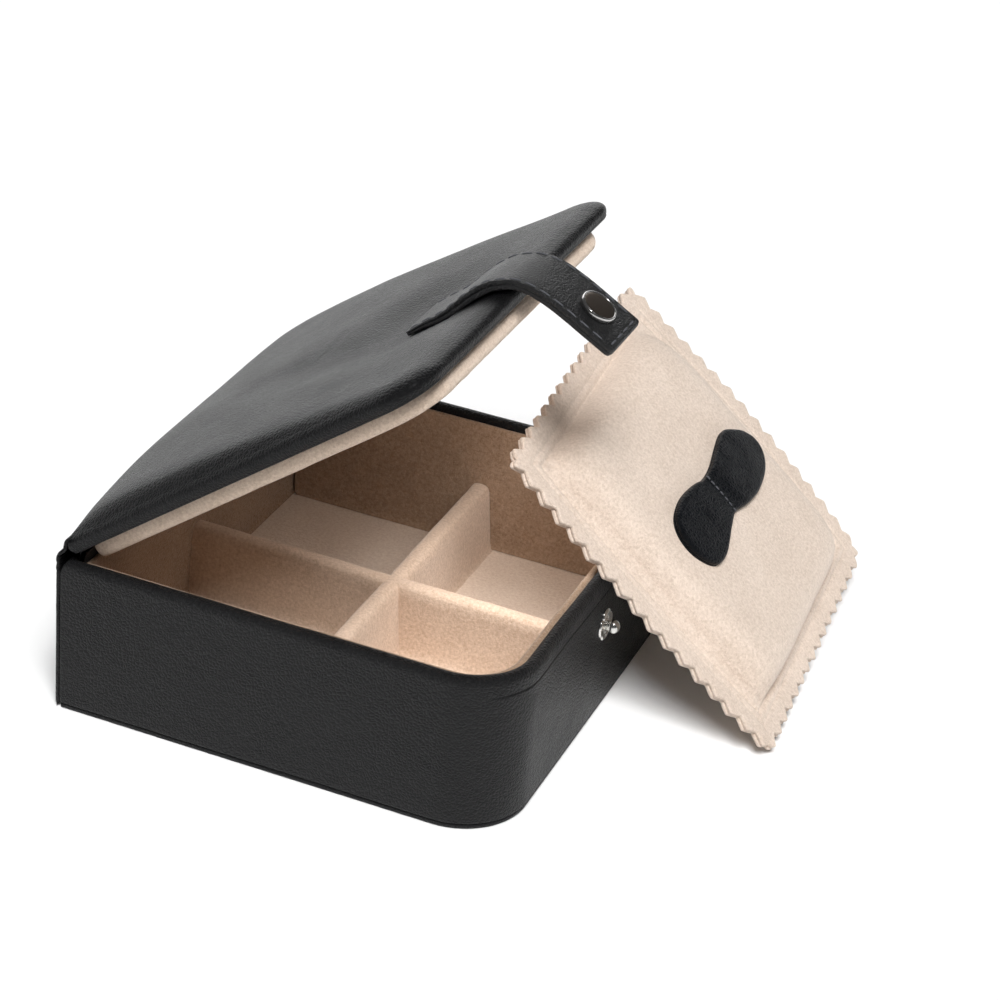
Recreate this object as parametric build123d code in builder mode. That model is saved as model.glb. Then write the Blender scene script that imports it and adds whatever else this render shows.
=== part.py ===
from build123d import *
import os
from math import sin, cos, tan, radians, hypot

os.makedirs("parts", exist_ok=True)

# ---------------------------------------------------------------- sizes (mm)
# +X is the front, the hinge is at -X, +Z is up; the origin is the centre of
# the underside of the box.
LENGTH = 115.0          # back cover to front wall
WIDTH = 121.0           # side to side
HEIGHT = 40.85          # table to rim top
BACK_X = -LENGTH / 2
FRONT_X = LENGTH / 2
CORNER_FRONT = 18.0     # upright front corners
CORNER_BACK = 2.2

SOLE_T = 1.8            # bottom cover
BACK_COVER_T = 1.15     # leather panel down the back
TRAY_BACK_X = BACK_X + 1.2
SKIN = 0.9              # leather on the walls
BOARD_T = 1.8           # wall board
RIM_T = 2 * SKIN + BOARD_T
RIM_ROUND = 1.4
FLOOR_TOP = 4.0
LINING_TOP = 39.1
LINING_T = 1.95
BACK_TOP = 38.3         # the back wall stops under the hinge fold

DIVIDER_TOP = 22.3
DIVIDER_T = 4.7         # at the top
DIVIDER_LEAN = 6.0      # degrees each side
DIVIDER_CROSS_X = 2.6

STUD_Z = 26.4
STUD_FLANGE_R = 4.25
STUD_FLANGE_T = 0.9
STUD_BALL_R = 1.72
STUD_BALL_OUT = 2.4     # ball centre in front of the wall

HINGE_X = BACK_X + 2.5
HINGE_Z = 41.1
LID_ANGLE = 37.42       # how far the lid stands open at rest
SPINE_R = 2.4
SPINE_HALF = 56.3

LID_START = 2.75        # lid pieces, measured from the hinge line
LID_END = 109.2
LID_HALF = 60.2
LID_CORNER = 11.5
LID_EDGE_H = 4.2
LID_DOME = 2.6
LID_PAD_T = 4.6

STRAP_W = 18.4
STRAP_T = 2.4
STRAP_ANGLE = 23.0      # how far the strap must fold in to snap

INSERT_L = 96.8         # along the slope
INSERT_W = 91.5
INSERT_TILT = 42.35
INSERT_SKEW = 4.64
INSERT_LOW = Vector(BACK_X + 156.8, 48.3, 4.1)
INSERT_LIFT = 0.95
SUEDE_T = 1.1
INSERT_DOME = 8.0

# ------------------------------------------------------------ helper outlines


def tray_outline(inset):
    """Plan of the box, pulled in by inset on every side."""
    x0 = TRAY_BACK_X + inset
    x1 = FRONT_X - inset
    with BuildSketch() as plan:
        with Locations(((x0 + x1) / 2, 0)):
            Rectangle(x1 - x0, WIDTH - 2 * inset)
        fillet(plan.vertices().group_by(Axis.X)[-1], CORNER_FRONT - inset)
        fillet(plan.vertices().group_by(Axis.X)[0], max(CORNER_BACK - inset, 0.5))
    return plan.sketch


def lid_outline(inset, start=LID_START, corner=LID_CORNER):
    """Plan of the lid in its own plane: X runs from the hinge to the front."""
    x0 = start + inset
    x1 = LID_END - inset
    with BuildSketch() as plan:
        with Locations(((x0 + x1) / 2, 0)):
            Rectangle(x1 - x0, 2 * (LID_HALF - inset))
        fillet(plan.vertices().group_by(Axis.X)[-1], max(corner - inset, 1.0))
        fillet(plan.vertices().group_by(Axis.X)[0], 1.0)
    return plan.sketch


outer_plan = tray_outline(0)
sole_plan = tray_outline(0.5)
skin_plan = tray_outline(SKIN)
board_plan = tray_outline(SKIN + BOARD_T)
rim_plan = tray_outline(RIM_T)
floor_board_plan = tray_outline(SKIN + BOARD_T + 0.1)
lining_out_plan = tray_outline(RIM_T + 0.05)

# ------------------------------------------------------------------- the box

with BuildPart() as base_sole:
    with BuildSketch():
        add(sole_plan)
    extrude(amount=SOLE_T)
    fillet(base_sole.edges().group_by(Axis.Z)[0], 0.4)
base_sole.part.label = "base_sole"

with BuildPart() as floor_board:
    with BuildSketch(Plane.XY.offset(SOLE_T)):
        add(floor_board_plan)
    extrude(amount=1.2)
floor_board.part.label = "floor_board"

with BuildPart() as wall_board:
    with BuildSketch(Plane.XY.offset(SOLE_T)):
        add(skin_plan)
        add(board_plan, mode=Mode.SUBTRACT)
    extrude(amount=38.9 - SOLE_T)
    with BuildSketch(Plane.XY.offset(BACK_TOP - 1.7)):
        with Locations((TRAY_BACK_X, 0)):
            Rectangle(12, 114.6)
    extrude(amount=10, mode=Mode.SUBTRACT)
    with BuildSketch(Plane.YZ.offset(FRONT_X - 6)):
        with Locations((0, STUD_Z)):
            Circle(1.1)
    extrude(amount=12, mode=Mode.SUBTRACT)
wall_board.part.label = "wall_board"

with BuildPart() as wall_leather:
    # rolled rim over the top of the wall
    with BuildSketch(Plane.XY.offset(38.9)):
        add(outer_plan)
        add(rim_plan, mode=Mode.SUBTRACT)
    extrude(amount=HEIGHT - 38.9)
    fillet(wall_leather.edges().group_by(Axis.Z)[-1], RIM_ROUND)
    # outer skin and the turn-in behind the lining
    with BuildSketch(Plane.XY.offset(SOLE_T)):
        add(outer_plan)
        add(skin_plan, mode=Mode.SUBTRACT)
    extrude(amount=38.9 - SOLE_T)
    with BuildSketch(Plane.XY.offset(FLOOR_TOP)):
        add(board_plan)
        add(rim_plan, mode=Mode.SUBTRACT)
    extrude(amount=38.9 - FLOOR_TOP)
    # the back wall is lower, so the lid's fold can turn above it
    with BuildSketch(Plane.XY.offset(BACK_TOP)):
        with Locations((TRAY_BACK_X, 0)):
            Rectangle(12, 113.6)
    extrude(amount=10, mode=Mode.SUBTRACT)
    with BuildSketch(Plane.XY.offset(BACK_TOP - 1.7)):
        with Locations((TRAY_BACK_X + RIM_T / 2, 0)):
            Rectangle(RIM_T, 113.6)
    extrude(amount=1.7)
    # the stud's rivet goes through the front wall
    with BuildSketch(Plane.YZ.offset(FRONT_X - 8)):
        with Locations((0, STUD_Z)):
            Circle(1.1)
    extrude(amount=12, mode=Mode.SUBTRACT)
    with BuildSketch(Plane.YZ.offset(FRONT_X - RIM_T - 1)):
        with Locations((0, STUD_Z)):
            Circle(3.6)
    extrude(amount=1 + SKIN, mode=Mode.SUBTRACT)
wall_leather.part.label = "wall_leather"

with BuildPart() as back_cover:
    with BuildSketch(Plane.YZ.offset(BACK_X)):
        with Locations((0, (0.4 + BACK_TOP) / 2)):
            Rectangle(WIDTH - 0.4, BACK_TOP - 0.4)
    extrude(amount=BACK_COVER_T)
    fillet(back_cover.edges().filter_by(Axis.Z).group_by(Axis.X)[0], 0.8)
back_cover.part.label = "back_cover"

with BuildPart() as floor_lining:
    with BuildSketch(Plane.XY.offset(SOLE_T + 1.2)):
        add(floor_board_plan)
    extrude(amount=FLOOR_TOP - SOLE_T - 1.2)
floor_lining.part.label = "floor_lining"

# lining round the two sides and the front, one bent strip
LINING_IN = RIM_T + 0.05 + LINING_T
BACK_LINING_X = TRAY_BACK_X + RIM_T + 0.05
with BuildSketch() as lining_hollow:
    x0 = BACK_LINING_X - 4
    x1 = FRONT_X - LINING_IN
    with Locations(((x0 + x1) / 2, 0)):
        Rectangle(x1 - x0, WIDTH - 2 * LINING_IN)
    fillet(lining_hollow.vertices().group_by(Axis.X)[-1], CORNER_FRONT - LINING_IN)
with BuildPart() as wrap_lining:
    with BuildSketch(Plane.XY.offset(FLOOR_TOP)):
        add(lining_out_plan)
        add(lining_hollow.sketch, mode=Mode.SUBTRACT)
    extrude(amount=LINING_TOP - FLOOR_TOP)
wrap_lining.part.label = "wrap_lining"

with BuildPart() as back_lining:
    with BuildSketch(Plane.XY.offset(FLOOR_TOP)):
        with Locations((BACK_LINING_X + 0.5, 0)):
            Rectangle(1.0, WIDTH - 2 * LINING_IN - 0.1)
    extrude(amount=BACK_TOP - FLOOR_TOP)
back_lining.part.label = "back_lining"

# dividers: suede-covered boards, wider at the foot, notched into each other
DIV_H = DIVIDER_TOP - FLOOR_TOP
DIV_FOOT = DIVIDER_T + 2 * DIV_H * tan(radians(DIVIDER_LEAN))
MID_Z = FLOOR_TOP + DIV_H / 2
LONG_X0 = BACK_LINING_X + 1.05
LONG_X1 = FRONT_X - LINING_IN - 0.05
CROSS_HALF = WIDTH / 2 - LINING_IN - 0.05


def divider_section(z0, z1):
    """Slice of the tapered section between two heights, centred on x = 0."""
    w0 = DIV_FOOT / 2 - (z0 - FLOOR_TOP) * tan(radians(DIVIDER_LEAN))
    w1 = DIV_FOOT / 2 - (z1 - FLOOR_TOP) * tan(radians(DIVIDER_LEAN))
    return [(-w0, z0), (w0, z0), (w1, z1), (-w1, z1)]


with BuildPart() as cross_low:
    with BuildSketch(Plane.XZ):
        with Locations((DIVIDER_CROSS_X, 0)):
            Polygon(*divider_section(FLOOR_TOP, MID_Z + 0.05), align=None)
    extrude(amount=20, both=True)
with BuildPart() as long_high:
    with BuildSketch(Plane.YZ.offset(DIVIDER_CROSS_X - 20)):
        Polygon(*divider_section(MID_Z - 0.05, DIVIDER_TOP + 0.0), align=None)
    extrude(amount=40)

with BuildPart() as divider_long:
    with BuildSketch(Plane.YZ.offset(LONG_X0)):
        Polygon(*divider_section(FLOOR_TOP, DIVIDER_TOP), align=None)
    extrude(amount=LONG_X1 - LONG_X0)
    fillet(divider_long.edges().filter_by(Axis.X).group_by(Axis.Z)[-1], 0.8)
    add(cross_low.part, mode=Mode.SUBTRACT)
divider_long.part.label = "divider_long"

with BuildPart() as divider_cross:
    with BuildSketch(Plane.XZ):
        with Locations((DIVIDER_CROSS_X, 0)):
            Polygon(*divider_section(FLOOR_TOP, DIVIDER_TOP), align=None)
    extrude(amount=CROSS_HALF, both=True)
    fillet(divider_cross.edges().filter_by(Axis.Y).group_by(Axis.Z)[-1], 0.8)
    add(long_high.part, mode=Mode.SUBTRACT)
    # the notch runs out through the rounded top
    with BuildSketch(Plane.XY.offset(DIVIDER_TOP - 1.0)):
        with Locations((DIVIDER_CROSS_X, 0)):
            Rectangle(20, DIVIDER_T + 0.2)
    extrude(amount=3, mode=Mode.SUBTRACT)
divider_cross.part.label = "divider_cross"

# ------------------------------------------------------------ stud on the front
with BuildPart() as stud_flange:
    with BuildSketch(Plane.YZ.offset(FRONT_X)):
        with Locations((0, STUD_Z)):
            Circle(STUD_FLANGE_R)
            Circle(1.05, mode=Mode.SUBTRACT)
            with PolarLocations(2.75, 6):
                Circle(0.6, mode=Mode.SUBTRACT)
    extrude(amount=STUD_FLANGE_T)
    fillet(stud_flange.edges().group_by(Axis.X)[-1].sort_by(SortBy.LENGTH)[-1], 0.4)
stud_flange.part.label = "stud_flange"

with BuildPart() as stud_ball:
    with BuildSketch(Plane.XZ.offset(0)):
        with BuildLine():
            r = 1.0
            hx = FRONT_X + STUD_BALL_OUT
            reach = (STUD_BALL_R ** 2 - r ** 2) ** 0.5
            Polyline((hx - reach, STUD_Z + r), (FRONT_X - RIM_T + 0.1, STUD_Z + r),
                     (FRONT_X - RIM_T + 0.1, STUD_Z), (hx + STUD_BALL_R, STUD_Z))
            ThreePointArc((hx + STUD_BALL_R, STUD_Z),
                          (hx + STUD_BALL_R * cos(radians(60)), STUD_Z + STUD_BALL_R * sin(radians(60))),
                          (hx - reach, STUD_Z + r))
        make_face()
    revolve(axis=Axis((0, 0, STUD_Z), (1, 0, 0)))
stud_ball.part.label = "stud_ball"

with BuildPart() as stud_washer:
    with BuildSketch(Plane.YZ.offset(FRONT_X - RIM_T + 0.1)):
        with Locations((0, STUD_Z)):
            Circle(3.4)
            Circle(1.05, mode=Mode.SUBTRACT)
    extrude(amount=SKIN - 0.15)
stud_washer.part.label = "stud_washer"

# ------------------------------------------------------------------ hinge fold
with BuildPart() as spine_leather:
    with BuildSketch(Plane.XZ):
        with Locations((HINGE_X, HINGE_Z)):
            Circle(SPINE_R)
            Circle(SPINE_R - 1.0, mode=Mode.SUBTRACT)
    extrude(amount=SPINE_HALF, both=True)
spine_leather.part.label = "spine_leather"

with BuildPart() as spine_lining:
    with BuildSketch(Plane.XZ):
        with Locations((HINGE_X, HINGE_Z)):
            Circle(SPINE_R - 1.05)
    extrude(amount=SPINE_HALF, both=True)
spine_lining.part.label = "spine_lining"

# ------------------------------------------------------------------------ lid
# In the lid's plane, X runs from the hinge line to the front and Z is out of
# the top; the plane stands open by LID_ANGLE.
A = radians(LID_ANGLE)
lid_plane = Plane(origin=(HINGE_X, 0, HINGE_Z), x_dir=(cos(A), 0, sin(A)), z_dir=(-sin(A), 0, cos(A)))
# the same frame seen from the side, for profiles across the lid
lid_side = Plane(origin=(HINGE_X, 0, HINGE_Z), x_dir=(cos(A), 0, sin(A)), z_dir=(0, -1, 0))

lid_plan = lid_outline(0)
lid_cavity_plan = lid_outline(0.95)
lid_lip_plan = lid_outline(6.0, corner=14)
lid_board_plan = lid_outline(1.75)
lid_foam_plan = lid_outline(3.2)
DOME_X = 41.0

with BuildPart() as lid_leather:
    with BuildSketch(lid_plane):
        add(lid_plan)
    extrude(amount=LID_EDGE_H)
    fillet(lid_leather.faces().sort_by(Axis(lid_plane.origin, lid_plane.z_dir))[-1].edges(), 3.4)
    with BuildSketch(lid_plane.offset(LID_EDGE_H - 0.4)):
        with Locations((DOME_X, 0)):
            RectangleRounded(66, 98, 14)
    extrude(amount=LID_DOME + 0.4, taper=62)
    # hollow for the board and the padding
    with BuildSketch(lid_plane.offset(-0.5)):
        add(lid_board_plan)
    extrude(amount=0.5 + 2.5, mode=Mode.SUBTRACT)
    with BuildSketch(lid_plane.offset(2.4)):
        add(lid_foam_plan)
    extrude(amount=0.9, mode=Mode.SUBTRACT)
    with BuildSketch(lid_plane.offset(3.2)):
        with Locations((DOME_X, 0)):
            RectangleRounded(62, 94, 12)
    extrude(amount=LID_DOME, taper=62, mode=Mode.SUBTRACT)
    # edge turned under the board
    with BuildSketch(lid_plane):
        add(lid_plan)
        add(lid_lip_plan, mode=Mode.SUBTRACT)
    extrude(amount=0.9)
lid_leather.part.label = "lid_leather"

with BuildPart() as lid_board:
    with BuildSketch(lid_plane.offset(0.95)):
        add(lid_outline(1.8))
    extrude(amount=1.5)
lid_board.part.label = "lid_board"

with BuildPart() as lid_padding:
    with BuildSketch(lid_plane.offset(2.5)):
        add(lid_outline(3.3))
    extrude(amount=0.7)
    with BuildSketch(lid_plane.offset(3.1)):
        with Locations((DOME_X, 0)):
            RectangleRounded(61.4, 93.4, 11.7)
    extrude(amount=LID_DOME - 0.1, taper=62)
lid_padding.part.label = "lid_padding"

with BuildPart() as lid_lining:
    with BuildSketch(lid_plane.offset(-LID_PAD_T)) as pad_plan:
        with Locations(((3.9 + 106.0) / 2, 0)):
            RectangleRounded(106.0 - 3.9, 2 * 54.4, 2.0)
        # front corners follow the inside of the box
        for side in (-1, 1):
            with Locations((106.0, side * 54.4)):
                Rectangle(24.6, 24.6, mode=Mode.SUBTRACT)
            with Locations((106.0 - 12.3, side * (54.4 - 12.3))):
                Circle(12.3)
    extrude(amount=LID_PAD_T - 0.02)
    fillet(lid_lining.faces().sort_by(Axis(lid_plane.origin, lid_plane.z_dir))[0].edges(), 1.2)
lid_lining.part.label = "lid_lining"

# ----------------------------------------------------------------------- strap
# Side view of the strap's outer face in the lid's frame: sewn flat on the lid,
# then an arch over the front edge, then the straight end with the snap.
T_DIR = (sin(radians(STRAP_ANGLE)), -cos(radians(STRAP_ANGLE)))
N_DIR = (cos(radians(STRAP_ANGLE)), sin(radians(STRAP_ANGLE)))
SNAP_OUT = (121.3, -9.55)
FLAP_TIP = (SNAP_OUT[0] + 9.4 * T_DIR[0], SNAP_OUT[1] + 9.4 * T_DIR[1])
FLAP_BEND = (SNAP_OUT[0] - 5.6 * T_DIR[0], SNAP_OUT[1] - 5.6 * T_DIR[1])
anchor_line = [(79.2, 6.65), (84.5, 6.65), (89.0, 6.7), (92.5, 7.0), (95.8, 7.6), (99.0, 8.2),
               (102.4, 8.55), (105.5, 8.4), (108.0, 7.75)]
flap_line = [(110.6, 6.75), (112.7, 5.3), (114.6, 3.3), (116.3, 0.9), (117.8, -1.75), FLAP_BEND, SNAP_OUT, FLAP_TIP]


def offset_line(points, depth, before=None, after=None):
    """The points moved in by depth, square to the line through them."""
    chain = ([before] if before else []) + list(points) + ([after] if after else [])
    out = []
    for p in points:
        k = chain.index(p)
        a = chain[max(k - 1, 0)]
        b = chain[min(k + 1, len(chain) - 1)]
        l = hypot(b[0] - a[0], b[1] - a[1])
        out.append((p[0] + depth * (b[1] - a[1]) / l, p[1] - depth * (b[0] - a[0]) / l))
    return out


anchor_in = offset_line(anchor_line, STRAP_T, after=flap_line[0])
flap_mid = offset_line(flap_line, STRAP_T / 2, before=anchor_line[-1])
flap_mid2 = offset_line(flap_line, STRAP_T / 2 + 0.01, before=anchor_line[-1])
flap_in = offset_line(flap_line, STRAP_T, before=anchor_line[-1])

with BuildPart() as strap_anchor:
    with BuildSketch(lid_side):
        Polygon(*(anchor_line + anchor_in[::-1]), align=None)
    extrude(amount=STRAP_W / 2, both=True)
strap_anchor.part.label = "strap_anchor"

# centre of the snap on the strap's mid surface, and its outward direction
SNAP_MID = (SNAP_OUT[0] - N_DIR[0] * STRAP_T / 2, SNAP_OUT[1] - N_DIR[1] * STRAP_T / 2)


def lid_point(d, h):
    return Vector(HINGE_X + d * cos(A) - h * sin(A), 0, HINGE_Z + d * sin(A) + h * cos(A))


snap_normal = Vector(N_DIR[0] * cos(A) - N_DIR[1] * sin(A), 0, N_DIR[0] * sin(A) + N_DIR[1] * cos(A))
snap_plane = Plane(origin=lid_point(*SNAP_MID), x_dir=(0, 1, 0), z_dir=snap_normal)

with BuildPart() as strap_flap:
    with BuildSketch(lid_side):
        Polygon(*(flap_line + flap_mid[::-1]), align=None)
    extrude(amount=STRAP_W / 2, both=True)
    with BuildSketch(snap_plane.offset(-4)):
        Circle(2.2)
    extrude(amount=8, mode=Mode.SUBTRACT)
strap_flap.part.label = "strap_flap"

with BuildPart() as strap_flap_lining:
    with BuildSketch(lid_side):
        Polygon(*(flap_mid2 + flap_in[::-1]), align=None)
    extrude(amount=STRAP_W / 2, both=True)
    with BuildSketch(snap_plane.offset(-4)):
        Circle(3.5)
    extrude(amount=8, mode=Mode.SUBTRACT)
strap_flap_lining.part.label = "strap_flap_lining"

with BuildPart() as snap_socket:
    with BuildSketch(snap_plane.offset(-STRAP_T / 2)):
        Circle(3.45)
        Circle(2.2, mode=Mode.SUBTRACT)
    extrude(amount=STRAP_T / 2 - 0.02)
snap_socket.part.label = "snap_socket"

CAP_R = 4.65
with BuildPart() as snap_cap:
    with BuildSketch(snap_plane.offset(STRAP_T / 2 + 0.01)):
        Circle(CAP_R)
    extrude(amount=1.7)
    fillet(snap_cap.faces().sort_by(Axis(snap_plane.origin, snap_plane.z_dir))[-1].edges(), 0.9)
    with BuildSketch(snap_plane.offset(STRAP_T / 2)):
        Circle(2.2)
    extrude(amount=0.9, mode=Mode.SUBTRACT)
snap_cap.part.label = "snap_cap"

# ------------------------------------------------------- loose padded insert
B = radians(INSERT_TILT)
S = radians(INSERT_SKEW)
up_slope = Vector(-cos(B), 0, sin(B))
across = Vector(0, 1, 0)
face_out = Vector(sin(B), 0, cos(B))
u_dir = up_slope * cos(S) - across * sin(S)
insert_centre = INSERT_LOW + u_dir * (INSERT_L / 2) + face_out * INSERT_LIFT
insert_plane = Plane(origin=insert_centre, x_dir=u_dir, z_dir=face_out)
RAISED_L = INSERT_L - 2 * 8.5
RAISED_W = INSERT_W - 2 * 8.5

with BuildPart() as insert_back:
    with BuildSketch(insert_plane.offset(-2 * SUEDE_T)):
        RectangleRounded(INSERT_L, INSERT_W, 2.5)
    extrude(amount=SUEDE_T - 0.01)
insert_back.part.label = "insert_back"

with BuildPart() as insert_top:
    with BuildSketch(insert_plane.offset(-SUEDE_T)):
        RectangleRounded(INSERT_L, INSERT_W, 2.5)
    extrude(amount=SUEDE_T)
    with BuildSketch(insert_plane.offset(-0.2)):
        RectangleRounded(RAISED_L, RAISED_W, 8)
    extrude(amount=INSERT_DOME + 0.2, taper=48)
    with BuildSketch(insert_plane.offset(-SUEDE_T)):
        RectangleRounded(RAISED_L - 2, RAISED_W - 2, 7)
    extrude(amount=SUEDE_T + 0.4, mode=Mode.SUBTRACT)
    with BuildSketch(insert_plane.offset(0.2)):
        RectangleRounded(RAISED_L - 2.6, RAISED_W - 2.6, 7)
    extrude(amount=INSERT_DOME - 1.2, taper=48, mode=Mode.SUBTRACT)
insert_top.part.label = "insert_top"

with BuildPart() as insert_board:
    with BuildSketch(insert_plane.offset(-SUEDE_T + 0.02)):
        RectangleRounded(RAISED_L - 2.4, RAISED_W - 2.4, 6.8)
    extrude(amount=1.2)
insert_board.part.label = "insert_board"

with BuildPart() as insert_filling:
    with BuildSketch(insert_plane.offset(0.22)):
        RectangleRounded(RAISED_L - 3.2, RAISED_W - 3.2, 6.6)
    extrude(amount=INSERT_DOME - 1.4, taper=48)
insert_filling.part.label = "insert_filling"

TAB_Z = INSERT_DOME + 0.02
with BuildPart() as pull_tab:
    with BuildSketch(insert_plane.offset(TAB_Z)) as tab_plan:
        with Locations((0.4, -16.8)):
            RectangleRounded(17.0, 25.0, 8.0)
        with Locations((0.4, 16.2)):
            RectangleRounded(17.6, 22.0, 8.4)
        with Locations((0.75, 0.5)):
            Rectangle(11.8, 17.5)
        fillet(tab_plan.vertices().filter_by(lambda v: abs(abs(v.X - 0.75) - 5.9) < 0.05), 2.0)
    extrude(amount=2.2)
    fillet(pull_tab.faces().sort_by(Axis(insert_plane.origin, insert_plane.z_dir))[-1].edges(), 0.5)
pull_tab.part.label = "pull_tab"

with BuildPart() as tab_stitch:
    with BuildSketch(insert_plane.offset(TAB_Z + 2.2)):
        with Locations((-2.85, 2.0), (-0.45, 2.0), (1.95, 2.0), (4.35, 2.0)):
            SlotOverall(2.0, 0.6)
    extrude(amount=0.35)
tab_stitch.part.label = "tab_stitch"

# --------------------------------------------------------------------- export
for piece in (base_sole, floor_board, wall_board, wall_leather, back_cover, floor_lining, wrap_lining,
              back_lining, divider_long, divider_cross, stud_flange, stud_ball, stud_washer,
              spine_leather, spine_lining, lid_leather, lid_board, lid_padding, lid_lining,
              strap_anchor, strap_flap, strap_flap_lining, snap_socket, snap_cap,
              insert_back, insert_top, insert_board, insert_filling, pull_tab, tab_stitch):
    export_step(piece.part, "parts/" + piece.part.label + ".step")
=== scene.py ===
from math import sin, cos, tan, radians, degrees, pi, hypot, sqrt, exp, ceil, atan2
import bpy
import bmesh
import numpy as np
from mathutils import Matrix, Vector, noise


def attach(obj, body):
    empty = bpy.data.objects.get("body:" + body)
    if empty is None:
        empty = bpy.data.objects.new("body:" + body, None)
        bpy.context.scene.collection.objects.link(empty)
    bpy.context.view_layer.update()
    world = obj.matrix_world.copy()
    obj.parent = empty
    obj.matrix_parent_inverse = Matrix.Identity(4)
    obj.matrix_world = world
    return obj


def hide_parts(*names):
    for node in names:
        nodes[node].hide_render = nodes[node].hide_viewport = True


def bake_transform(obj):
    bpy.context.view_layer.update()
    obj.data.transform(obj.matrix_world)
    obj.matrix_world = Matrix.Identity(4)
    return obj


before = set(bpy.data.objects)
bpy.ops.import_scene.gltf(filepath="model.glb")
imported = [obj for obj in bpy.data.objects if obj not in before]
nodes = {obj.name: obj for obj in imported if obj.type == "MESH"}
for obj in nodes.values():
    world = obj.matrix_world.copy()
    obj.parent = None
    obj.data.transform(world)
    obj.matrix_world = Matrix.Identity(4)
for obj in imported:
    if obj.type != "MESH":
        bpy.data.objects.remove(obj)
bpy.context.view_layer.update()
scene = bpy.context.scene
MM = 0.001

# ------------------------------------------------------------------ helpers
def smooth(t):
    t = np.clip(t, 0.0, 1.0)
    return t * t * (3 - 2 * t)


def wobble(points, size, seed=0.0):
    """Smooth noise in -1..1 at points given in mm."""
    p = np.asarray(points, float).reshape(-1, 3) / size + seed
    out = np.array([noise.noise(Vector(q)) for q in p])
    return out.reshape(np.asarray(points).shape[:-1])


def build(name, verts, faces, material, body=None, smooth_shading=True):
    mesh = bpy.data.meshes.new(name)
    mesh.from_pydata([tuple(float(c) * MM for c in v) for v in verts], [], faces)
    mesh.update()
    bm = bmesh.new()
    bm.from_mesh(mesh)
    bmesh.ops.remove_doubles(bm, verts=bm.verts, dist=0.000004)
    bmesh.ops.recalc_face_normals(bm, faces=bm.faces)
    bm.to_mesh(mesh)
    bm.free()
    mesh.materials.append(material)
    mesh.polygons.foreach_set("use_smooth", [smooth_shading] * len(mesh.polygons))
    mesh.update()
    obj = bpy.data.objects.new(name, mesh)
    scene.collection.objects.link(obj)
    if body:
        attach(obj, body)
    return obj


def grid(rows, closed_rows=False, closed_cols=False, cap_first=False, cap_last=False):
    """Vertices and quads of a grid of points; caps are fans round a middle point."""
    rows = np.asarray(rows, float)
    n, m = rows.shape[:2]
    verts = rows.reshape(-1, 3).tolist()
    faces = []
    for i in range(n if closed_rows else n - 1):
        for j in range(m if closed_cols else m - 1):
            a, b = i * m + j, i * m + (j + 1) % m
            c, d = ((i + 1) % n) * m + (j + 1) % m, ((i + 1) % n) * m + j
            faces.append((a, b, c, d))
    for flag, row in ((cap_first, 0), (cap_last, n - 1)):
        if flag:
            verts.append(rows[row].mean(0).tolist())
            k = len(verts) - 1
            for j in range(m if closed_cols else m - 1):
                faces.append((row * m + j, row * m + (j + 1) % m, k))
    return verts, faces


def rounded_loop(x0, x1, y0, y1, radii, inset=0.0, step=1.0):
    """A closed outline with rounded corners, counter-clockwise from the middle of the x0 side.
    Every inset gives the same number of points. Returns points and outward directions."""
    corners = [((x0, y0), (1, 1), pi, radii[0]), ((x1, y0), (-1, 1), 1.5 * pi, radii[1]),
               ((x1, y1), (-1, -1), 0.0, radii[2]), ((x0, y1), (1, -1), 0.5 * pi, radii[3])]
    arcs, dirs = [], []
    for (cx, cy), (sx, sy), a0, r in corners:
        rr = max(r - inset, 0.05)
        px, py = cx + sx * (inset + rr), cy + sy * (inset + rr)
        k = max(5, int(ceil(r * pi / 2 / step)))
        ang = [a0 + pi / 2 * t for t in np.linspace(0, 1, k + 1)]
        arcs.append([(px + rr * cos(a), py + rr * sin(a)) for a in ang])
        dirs.append([(cos(a), sin(a)) for a in ang])
    sides = [(y1 - y0 - radii[0] - radii[3]) / 2, x1 - x0 - radii[0] - radii[1],
             y1 - y0 - radii[1] - radii[2], x1 - x0 - radii[2] - radii[3],
             (y1 - y0 - radii[0] - radii[3]) / 2]
    normals = [(-1, 0), (0, -1), (1, 0), (0, 1), (-1, 0)]
    mid = (x0 + inset, (y0 + y1) / 2)
    pts, nrm = [], []
    for k in range(5):
        a = mid if k == 0 else arcs[k - 1][-1]
        b = arcs[k][0] if k < 4 else mid
        n = max(2, int(sides[k] / step))
        lo = 0 if k == 0 else 1
        for t in range(lo, n):
            f = t / n
            pts.append((a[0] + (b[0] - a[0]) * f, a[1] + (b[1] - a[1]) * f))
            nrm.append(normals[k])
        if k < 4:
            pts += arcs[k]
            nrm += dirs[k]
    return np.array(pts), np.array(nrm, float)


def along(points):
    """Distance travelled along a closed outline at each of its points, and its whole length."""
    nxt = np.roll(points, -1, axis=0)
    seg = np.hypot(*(nxt - points).T)
    return np.concatenate([[0], np.cumsum(seg)[:-1]]), float(seg.sum())


def resample(points, step):
    """A smooth line through points (Catmull-Rom), cut into even steps."""
    p = np.array(points, float)
    ext = np.vstack([2 * p[0] - p[1], p, 2 * p[-1] - p[-2]])
    fine = []
    for i in range(1, len(ext) - 2):
        p0, p1, p2, p3 = ext[i - 1:i + 3]
        for t in np.linspace(0, 1, 24, endpoint=False):
            fine.append(0.5 * ((2 * p1) + (-p0 + p2) * t + (2 * p0 - 5 * p1 + 4 * p2 - p3) * t * t
                               + (-p0 + 3 * p1 - 3 * p2 + p3) * t ** 3))
    fine.append(p[-1])
    fine = np.array(fine)
    s = np.concatenate([[0], np.cumsum(np.linalg.norm(np.diff(fine, axis=0), axis=1))])
    n = max(2, int(round(s[-1] / step)))
    at = np.linspace(0, s[-1], n + 1)
    return np.column_stack([np.interp(at, s, fine[:, k]) for k in range(p.shape[1])]), at


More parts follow.
